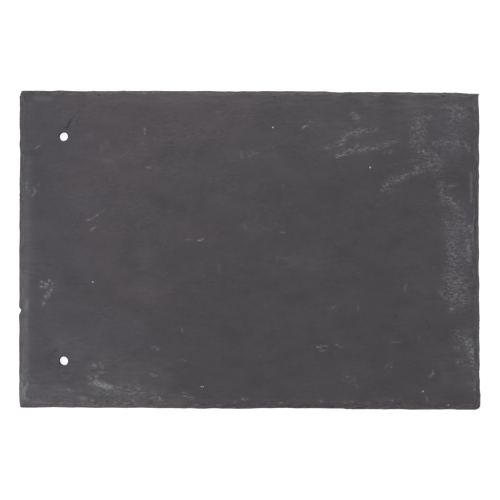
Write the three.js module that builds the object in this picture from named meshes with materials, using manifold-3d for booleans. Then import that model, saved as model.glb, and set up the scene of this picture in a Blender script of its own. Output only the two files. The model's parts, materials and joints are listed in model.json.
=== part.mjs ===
// A natural roofing slate: one slab split from the block, with edges dressed by hand and two nail holes.
// Millimetres, +Z up. The bed, which lies on the roof, is on z = 0, and the face looks up.
// The length runs along X: the head, which is nailed, is at -X and the tail, which shows, is at +X.
// The far edge is at +Y and the near edge at -Y. The origin is under the middle of the slab.

import * as THREE from 'three';
import { mergeVertices } from 'three/addons/utils/BufferGeometryUtils.js';
import Module from 'manifold-3d';

const wasm = await Module();
wasm.setup();

const { lerp, smoothstep } = THREE.MathUtils;

// ---- Driving dimensions, mm ----

// The gauge that the slate is cut to, and its thickness as split.
const length = 320;
const width = 220;
const thickness = 5;

// Head and tail are a little out of square: each rake is how far one end of the edge is cut back,
// the near end of the head and the far end of the tail.
const headRake = 0.8;
const tailRake = 1.9;

// Plan width of the dressed bevel on each edge, from the arris of the bed to the rim of the face.
const nearBevel = 4.9;
const tailBevel = 5;
const farBevel = 2.8;
const headBevel = 4;

// The dressing knife shears a low lip above the bed and breaks the rest back leaf by leaf, so that
// each leaf ends in a steep riser and shows a narrow ledge of the leaf below it.
const lipHeight = 1.1;
const lipBatter = 0.2;
const leafTops = [0.22, 0.46, 0.8, 1]; // shares of the way from the lip up to the face
const riserBatter = 0.25;
const leastLedge = 0.08;
const ledgeRise = 0.1;

// Chips are hollows side by side along an edge. A blow of the knife bites into all leaves at once,
// and then every leaf breaks in smaller chips of its own.
const blowPitch = 17;
const blowDepth = 1.3;
const chipPitch = 8;
const chipDepth = 0.9;
const nibbleDepth = 0.35; // how far a blow also eats into the arris of the bed
const pitchSpread = 0.6; // the share of the pitch that the width of a chip varies by
const lipDip = 0.35; // the share of its height that the lip loses at the deepest blow

// Nail holes, drilled from the face, with the flakes lost at the mouth and where the drill came out.
const holeDiameter = 6;
const farHole = { fromHead: 31.5, fromSide: 32.8 };
const nearHole = { fromHead: 32.4, fromSide: 33 };
const mouthFlake = { diameter: 6.8, depth: 0.3, drift: 0.2 };
const exitFlake = { diameter: 9.4, depth: 0.9, drift: 0.7 };

// Damage to the outline.
const clippedCorner = { alongHead: 4.4, alongFar: 3.4 };
const roundedCornerRadius = 5;
const headNick = { fromFar: 152, width: 2.6, depth: 1.1 };

// How each edge wanders inside the gauge, as knots of [share of the way along, inset in mm]. The
// edges go round counter-clockwise as seen from above.
const nearCourse = [
  [0, 0.35], [0.05, 0.4], [0.09, 0.2], [0.13, 0.35], [0.17, 0.15], [0.27, 0.2], [0.39, 0],
  [0.42, 0.1], [0.47, 0], [0.54, 0.5], [0.69, 0.6], [0.74, 0], [0.85, 0], [0.9, 0.25], [1, 0.1],
];
const tailCourse = [
  [0, 0], [0.04, 0], [0.12, 0.7], [0.14, 0.35], [0.29, 0.6], [0.36, 0.7], [0.4, 0.5], [0.46, 0.8],
  [0.51, 0.5], [0.63, 0.8], [0.73, 0.5], [0.8, 0.25], [0.83, 0.55], [0.89, 0.15], [1, 0.55],
];
const farCourse = [
  [0, 1.1], [0.04, 0.6], [0.09, 0.55], [0.22, 0.3], [0.32, 0.55], [0.335, 0], [0.36, 0.1],
  [0.5, 0.35], [0.73, 0.25], [0.8, 0.6], [0.84, 0.75], [0.9, 0.35], [0.96, 0.65], [1, 0.7],
];
const headCourse = [
  [0, 0], [0.07, 0], [0.1, 0.15], [0.19, 0.65], [0.25, 0.4], [0.31, 0], [0.45, 0.1], [0.5, 0.05],
  [0.6, 0.15], [0.68, 0.2], [0.75, 0.25], [0.82, 0], [0.92, 0.65], [1, 0.7],
];

// Facets.
const stationPitch = 2.2;
const roundSegments = 24;
const cutMargin = 2; // how far a cutting solid runs past what it cuts

// ---- Dressed edges ----

// `place` turns a distance along an edge, from its middle, and an inset from the gauge into a point.
const edges = [
  {
    run: length, bevel: nearBevel, course: nearCourse, rake: 0, seed: 11,
    place: (along, inset) => [along, inset - width / 2],
  },
  {
    run: width, bevel: tailBevel, course: tailCourse, rake: tailRake, seed: 23,
    place: (along, inset) => [length / 2 - inset, along],
  },
  {
    run: length, bevel: farBevel, course: farCourse, rake: 0, seed: 37,
    place: (along, inset) => [-along, width / 2 - inset],
  },
  {
    run: width, bevel: headBevel, course: headCourse, rake: headRake, seed: 41,
    place: (along, inset) => [inset - length / 2, -along],
  },
];
const [nearEdge, tailEdge, farEdge, headEdge] = edges;

// Repeatable random numbers from 0 to 1 (the mulberry32 generator).
function randomFrom(seed) {
  let state = seed;
  return () => {
    state = (state + 0x6d2b79f5) | 0;
    let mixed = Math.imul(state ^ (state >>> 15), 1 | state);
    mixed = (mixed + Math.imul(mixed ^ (mixed >>> 7), 61 | mixed)) ^ mixed;
    return ((mixed ^ (mixed >>> 14)) >>> 0) / 2 ** 32;
  };
}

// How far the arris of an edge lies inside the gauge at a share of its run.
function arrisInset(edge, share) {
  const next = Math.max(1, edge.course.findIndex(([knot]) => knot >= share));
  const [startShare, startInset] = edge.course[next - 1];
  const [endShare, endInset] = edge.course[next];
  return lerp(startInset, endInset, smoothstep(share, startShare, endShare)) + edge.rake * share;
}

// A row of chips over a whole run, as a function from a share of the run to a bite from 0 to 1. A
// chip is deepest in its middle, and a ridge stands between it and the next.
function chipRow(run, pitch, random) {
  const widths = Array.from({ length: Math.round(run / pitch) }, () => 1 + pitchSpread * (2 * random() - 1));
  const total = widths.reduce((sum, chipWidth) => sum + chipWidth);
  let end = 0;
  const chips = widths.map((chipWidth) => {
    const start = end;
    end += chipWidth / total;
    return { start, end, bite: random() };
  });
  return (share) => {
    const chip = chips.find((candidate) => share <= candidate.end) ?? chips[chips.length - 1];
    const across = (2 * (share - chip.start)) / (chip.end - chip.start) - 1;
    return chip.bite * (1 - across * across);
  };
}

// The cross-sections of one edge, from corner to corner. Each is a list of levels, from the bed up
// to the rim of the face: the arris, the top of the lip, then the foot and the top of every leaf.
function stationsAlong(edge) {
  const random = randomFrom(edge.seed);
  const blows = chipRow(edge.run, blowPitch, random);
  const leafChips = leafTops.map(() => chipRow(edge.run, chipPitch, random));
  const meanDepth = (blowDepth + chipDepth) / 3;
  const count = Math.round(edge.run / stationPitch);
  return Array.from({ length: count + 1 }, (_, index) => {
    const share = index / count;
    const blow = blows(share);
    const arris = arrisInset(edge, share) + nibbleDepth * blow;
    const lip = lipHeight * (1 - lipDip * blow);
    const levels = [{ inset: arris, height: 0 }, { inset: arris + lipBatter, height: lip }];
    leafTops.forEach((leafTop, leaf) => {
      const below = levels[levels.length - 1];
      const even = arris + (edge.bevel * (leaf + 1)) / leafTops.length - riserBatter;
      const broken = even + blowDepth * blow + chipDepth * leafChips[leaf](share) - meanDepth;
      const foot = Math.max(broken, below.inset + leastLedge);
      levels.push({ inset: foot, height: below.height + ledgeRise });
      levels.push({ inset: foot + riserBatter, height: lerp(lip, thickness, leafTop) });
    });
    return { share, levels };
  });
}

// The closed ring of points round the slab at one level. At a corner the insets of both edges hold.
function ringAt(level, edgeStations) {
  return edges.flatMap((edge, index) => {
    const stations = edgeStations[index];
    const before = edgeStations[(index + 3) % 4];
    const after = edgeStations[(index + 1) % 4];
    const start = before[before.length - 1].levels[level].inset - edge.run / 2;
    const end = edge.run / 2 - after[0].levels[level].inset;
    return stations.slice(0, -1).map(({ share, levels }) => {
      const { inset, height } = levels[level];
      const [x, y] = edge.place(lerp(start, end, share), inset);
      return new THREE.Vector3(x, y, height);
    });
  });
}

// The same ring of stations on the straight lines of the gauge, at any height.
function gaugeRing(height, edgeStations) {
  return edges.flatMap((edge, index) => edgeStations[index].slice(0, -1).map(({ share }) => {
    const [x, y] = edge.place(edge.run * (share - 0.5), 0);
    return new THREE.Vector3(x, y, height);
  }));
}

// The dressed edge as a loft through every level. It runs on past the bed and the face to a point
// under and over the middle, so that both can be cut off flat.
function loftGeometry() {
  const edgeStations = edges.map(stationsAlong);
  const levelCount = edgeStations[0][0].levels.length;
  const levels = Array.from({ length: levelCount }, (_, level) => ringAt(level, edgeStations));
  const [below, above] = [-cutMargin, thickness + cutMargin];
  const rings = [gaugeRing(below, edgeStations), ...levels, gaugeRing(above, edgeStations)];
  const points = [...rings.flat(), new THREE.Vector3(0, 0, 2 * below), new THREE.Vector3(0, 0, 2 * above)];
  const count = rings[0].length;
  const topStart = (rings.length - 1) * count;
  const [bottomPoint, topPoint] = [points.length - 2, points.length - 1];
  const indices = [];
  for (let here = 0; here < count; here += 1) {
    const next = (here + 1) % count;
    indices.push(bottomPoint, next, here, topPoint, topStart + here, topStart + next);
    for (let low = 0; low < topStart; low += count) {
      const high = low + count;
      indices.push(low + here, low + next, high + next, low + here, high + next, high + here);
    }
  }
  const geometry = new THREE.BufferGeometry().setFromPoints(points);
  return geometry.setIndex(indices);
}

// ---- Cuts ----

function solidFrom(geometry) {
  const bare = geometry.clone();
  bare.deleteAttribute('normal');
  bare.deleteAttribute('uv');
  const merged = mergeVertices(bare);
  return new wasm.Manifold(new wasm.Mesh({
    numProp: 3,
    vertProperties: new Float32Array(merged.attributes.position.array),
    triVerts: new Uint32Array(merged.index.array),
  }));
}

function geometryFrom(solid) {
  const mesh = solid.getMesh();
  const geometry = new THREE.BufferGeometry();
  geometry.setAttribute('position', new THREE.BufferAttribute(mesh.vertProperties, mesh.numProp));
  geometry.setIndex(new THREE.BufferAttribute(mesh.triVerts, 1));
  return geometry;
}

// A cutter of the given outline that runs through the slab.
function throughCutter(outline) {
  const geometry = new THREE.ExtrudeGeometry(outline, {
    depth: thickness + 2 * cutMargin, bevelEnabled: false, curveSegments: roundSegments / 4,
  });
  return geometry.translate(0, 0, -cutMargin);
}

// A round cutter round +Z: `lower` and `upper` are its radii at the heights `bottom` and `top`.
function roundCutter(x, y, bottom, top, lower, upper) {
  return new THREE.CylinderGeometry(upper, lower, top - bottom, roundSegments)
    .rotateX(Math.PI / 2)
    .translate(x, y, (bottom + top) / 2);
}

// The cutters of one nail hole: its bore, and a shallow cone for the flake lost at either end. Each
// flake goes further to one side, away from the edge for the mouth and towards it for the exit.
function nailHoleCutters(hole, side) {
  const x = hole.fromHead - length / 2;
  const y = side * (width / 2 - hole.fromSide);
  const bore = holeDiameter / 2;
  const widened = (flake) => (
    bore + ((flake.diameter / 2 - bore) * (flake.depth + cutMargin)) / flake.depth
  );
  const mouthY = y - side * mouthFlake.drift;
  const exitY = y + side * exitFlake.drift;
  const mouthBottom = thickness - mouthFlake.depth;
  return [
    roundCutter(x, y, -cutMargin, thickness + cutMargin, bore, bore),
    roundCutter(x, mouthY, mouthBottom, thickness + cutMargin, bore, widened(mouthFlake)),
    roundCutter(x, exitY, -cutMargin, exitFlake.depth, widened(exitFlake), bore),
  ];
}

// The corner of head and far edge, broken off along a straight line.
function clippedCornerCutter() {
  const x = arrisInset(headEdge, 0) - length / 2;
  const y = width / 2 - arrisInset(farEdge, 1);
  const low = new THREE.Vector2(x, y - clippedCorner.alongHead);
  const high = new THREE.Vector2(x + clippedCorner.alongFar, y);
  const past = high.clone().sub(low).setLength(cutMargin);
  const outside = new THREE.Vector2(x - cutMargin, y + cutMargin);
  return throughCutter(new THREE.Shape([low.sub(past), high.add(past), outside]));
}

// The corner of near edge and tail, worn round.
function roundedCornerCutter() {
  const x = length / 2 - arrisInset(tailEdge, 0);
  const y = arrisInset(nearEdge, 1) - width / 2;
  const radius = roundedCornerRadius;
  const outline = new THREE.Shape();
  outline.moveTo(x + cutMargin, y - cutMargin);
  outline.lineTo(x + cutMargin, y + radius);
  outline.lineTo(x, y + radius);
  outline.absarc(x - radius, y + radius, radius, 0, -Math.PI / 2, true);
  outline.lineTo(x - radius, y - cutMargin);
  return throughCutter(outline);
}

// The notch knocked into the head edge, a V in plan.
function headNickCutter() {
  const x = arrisInset(headEdge, headNick.fromFar / width) - length / 2;
  const y = width / 2 - headNick.fromFar;
  const half = ((headNick.width / 2) * (headNick.depth + cutMargin)) / headNick.depth;
  return throughCutter(new THREE.Shape([
    new THREE.Vector2(x - cutMargin, y - half),
    new THREE.Vector2(x + headNick.depth, y),
    new THREE.Vector2(x - cutMargin, y + half),
  ]));
}

// ---- The slate ----

function slateGeometry() {
  const cutters = [
    ...nailHoleCutters(farHole, 1),
    ...nailHoleCutters(nearHole, -1),
    clippedCornerCutter(),
    roundedCornerCutter(),
    headNickCutter(),
  ];
  const leaf = new THREE.BoxGeometry(2 * length, 2 * width, thickness).translate(0, 0, thickness / 2);
  const slab = solidFrom(loftGeometry()).intersect(solidFrom(leaf));
  return geometryFrom(cutters.reduce((solid, cutter) => solid.subtract(solidFrom(cutter)), slab));
}

const slateStone = new THREE.MeshStandardMaterial({
  color: 0x4e4c4f, roughness: 0.85, metalness: 0, flatShading: true,
});

const slate = new THREE.Mesh(slateGeometry(), slateStone);
slate.name = 'slate';

const group = new THREE.Group();
group.add(slate);

export default group;
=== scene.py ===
"""The looks of a natural roofing slate: riven faces, hand-dressed edges and two nail holes.

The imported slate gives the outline, the dressed bevels and the holes. The slab made here takes
them over, lays a fine grid over the face and the bed, and moves the points into the relief of
split stone. Where the slate was scuffed, chipped or dusted is painted on the points, and the
finish reads it from there.

Sizes in the classes are in millimetres, and MM turns them into metres. X runs along the length
from the nailed head to the tail, Y across it, and the face looks up.
"""

import json
import logging
import math
from collections.abc import Callable, Mapping, Sequence
from dataclasses import dataclass, field
from enum import Enum

import bpy
import numpy as np
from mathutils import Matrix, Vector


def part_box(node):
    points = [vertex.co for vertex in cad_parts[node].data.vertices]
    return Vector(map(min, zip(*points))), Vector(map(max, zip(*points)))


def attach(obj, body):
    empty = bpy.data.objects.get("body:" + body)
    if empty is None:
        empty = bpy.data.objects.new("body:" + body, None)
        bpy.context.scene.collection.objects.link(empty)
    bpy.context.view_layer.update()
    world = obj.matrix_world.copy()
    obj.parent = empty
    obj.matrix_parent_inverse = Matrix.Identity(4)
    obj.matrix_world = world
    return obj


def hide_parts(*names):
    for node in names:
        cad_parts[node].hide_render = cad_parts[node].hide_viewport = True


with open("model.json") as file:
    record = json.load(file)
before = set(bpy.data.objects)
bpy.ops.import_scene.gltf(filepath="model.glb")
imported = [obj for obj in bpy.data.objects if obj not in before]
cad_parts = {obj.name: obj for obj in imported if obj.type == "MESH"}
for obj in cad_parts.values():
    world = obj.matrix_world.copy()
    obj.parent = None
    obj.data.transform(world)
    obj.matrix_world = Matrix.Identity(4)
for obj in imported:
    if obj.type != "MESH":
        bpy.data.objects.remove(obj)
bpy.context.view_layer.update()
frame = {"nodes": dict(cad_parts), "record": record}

MM = 0.001
Colour = tuple[float, float, float]

log = logging.getLogger("slate")


# ---------------------------------------------------------------- numbers over points


# What the scrambling of whole numbers into random ones is made of.
WORD = 0xFFFFFFFF
AXIS_STEPS = np.array((374761393, 668265263, 2147483647))
SEED_STEP = 1274126177
SCRAMBLES = ((15, 2246822519), (13, 3266489917))


def eased(values: np.ndarray, low: float, high: float) -> np.ndarray:
    """Returns a smooth step from 0 at low to 1 at high."""
    share = np.clip((values - low) / (high - low), 0.0, 1.0)
    return share * share * (3.0 - 2.0 * share)


def lattice(cell: np.ndarray, seed: int) -> np.ndarray:
    """Gives each whole-numbered point a repeatable random value.

    Args:
        cell: One row of three whole numbers for each point.
        seed: Tells one set of values from another.

    Returns:
        One value from -1 to 1 for each point.
    """
    mixed = (cell @ AXIS_STEPS + seed * SEED_STEP) & WORD
    for shift, factor in SCRAMBLES:
        mixed = ((mixed ^ (mixed >> shift)) * factor) & WORD
    mixed = mixed ^ (mixed >> 16)
    return mixed / (WORD / 2) - 1.0


@dataclass(frozen=True)
class RockNoise:
    """Smooth repeatable noise through space, from -1 to 1.

    Attributes:
        seed: Tells one pattern from another.
        along: Size of its lumps along X, in mm.
        across: Their size along Y.
        through: Their size along Z.
    """

    seed: int
    along: float
    across: float
    through: float = 1000.0

    def at(self, points: np.ndarray) -> np.ndarray:
        """Reads the noise.

        Args:
            points: One row of x, y, z in mm for each point.

        Returns:
            One value for each point.
        """
        place = points / np.array((self.along, self.across, self.through)) + 0.5
        cell = np.floor(place).astype(np.int64)
        share = place - cell
        share = share * share * share * (share * (share * 6.0 - 15.0) + 10.0)
        total = np.zeros(len(points))
        for corner in np.ndindex(2, 2, 2):
            weight = np.prod(np.where(corner, share, 1.0 - share), axis=1)
            total += weight * lattice(cell + corner, self.seed)
        return total


@dataclass(frozen=True)
class Fracture:
    """Broken stone: space falls into odd-shaped splinters, each with one value from -1 to 1.

    Attributes:
        seed: Tells one pattern from another.
        plan: Size of a splinter in plan, in mm.
        leaf: Its thickness along Z.
        stray: How far its middle lies from the middle of its cell, in cells.
    """

    seed: int
    plan: float
    leaf: float
    stray: float = 0.45

    def at(self, points: np.ndarray) -> np.ndarray:
        """Finds the splinter that each point lies in.

        Args:
            points: One row of x, y, z in mm for each point.

        Returns:
            The splinter's value for each point.
        """
        place = points / np.array((self.plan, self.plan, self.leaf))
        cell = np.floor(place).astype(np.int64)
        nearest = np.full(len(points), np.inf)
        value = np.zeros(len(points))
        for step in np.ndindex(3, 3, 3):
            neighbour = cell + (np.array(step) - 1)
            strays = [lattice(neighbour, self.seed + axis) for axis in range(3)]
            centre = neighbour + 0.5 + self.stray * np.stack(strays, axis=1)
            away = ((place - centre) ** 2).sum(1)
            closer = away < nearest
            nearest = np.where(closer, away, nearest)
            value = np.where(closer, lattice(neighbour, self.seed + 3), value)
        return value


# ---------------------------------------------------------------- marks on the slate


CHIP = 1.4  # Length of a small chip of the near edge, in mm.


class Mark(Enum):
    """The kinds of mark on the slate, by the name that each is painted under."""

    SLIDE = "slide"
    RUB = "rub"
    LINE = "line"
    DUST = "dust"
    CRACK = "crack"
    BLUE = "blue"
    RED = "red"
    DEEP = "deep"


@dataclass(frozen=True)
class Stroke:
    """One mark, soft-edged and a little wandering, from one point of the face to another.

    Attributes:
        start: X and Y where it starts, in mm.
        end: X and Y where it ends.
        reach: How far to either side it spreads, in mm.
        strength: How strong it is in its middle, from 0 to 1.
        beaded: A stroke with less reach than this breaks up into beads.
    """

    start: tuple[float, float]
    end: tuple[float, float]
    reach: float
    strength: float
    beaded: float = 0.75

    def away(self, place: np.ndarray) -> np.ndarray:
        """Measures how far off the line of the stroke is.

        Args:
            place: One row of x, y in mm for each point.

        Returns:
            The distance of each point, in mm.
        """
        start = np.array(self.start)
        run = np.array(self.end) - start
        share = np.clip((place - start) @ run / (run @ run), 0.0, 1.0)
        return np.linalg.norm(place - start - share[:, None] * run, axis=1)

    def on(self, points: np.ndarray) -> np.ndarray:
        """Lays the stroke, which wanders more and in longer bends the wider it is.

        Args:
            points: One row of x, y, z in mm for each point.

        Returns:
            How strong the stroke is at each point.
        """
        wander = 0.2 + 0.25 * self.reach
        bend = 1.5 + 2.0 * self.reach
        # Three reaches away it has faded out.
        near = self.away(points[:, :2]) < 3.0 * self.reach + 2.0 * wander
        shift = [RockNoise(seed, bend, bend).at(points[near]) for seed in (91, 92)]
        place = points[near, :2] + wander * np.stack(shift, axis=1)
        strength = np.zeros(len(points))
        strength[near] = self.strength * np.exp(-((self.away(place) / self.reach) ** 2))
        if self.reach < self.beaded:
            strength[near] *= 0.3 + eased(RockNoise(93, 1.5, 1.1).at(points[near]), -0.4, 0.3)
        return strength


def laid(*rows: tuple[float, float, float, float, float, float]) -> tuple[Stroke, ...]:
    """Returns a stroke for each row: X and Y of its start and of its end, reach and strength."""
    return tuple(Stroke(row[:2], row[2:4], *row[4:]) for row in rows)


def edge_chips(reach: float, *rows: tuple[float, float, float]) -> tuple[Stroke, ...]:
    """Returns a short level stroke for each row: X and Y of its middle, and its strength."""
    return laid(*((x - CHIP / 2, y, x + CHIP / 2, y, reach, strength) for x, y, strength in rows))


def covered(strokes: Sequence[Stroke], points: np.ndarray) -> np.ndarray:
    """Lays strokes over each other.

    Args:
        strokes: The strokes of one mark.
        points: One row of x, y, z in mm for each point.

    Returns:
        How strongly they cover each point together, from 0 to 1.
    """
    clear = np.ones(len(points))
    for stroke in strokes:
        clear *= 1.0 - stroke.on(points)
    return 1.0 - clear


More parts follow.
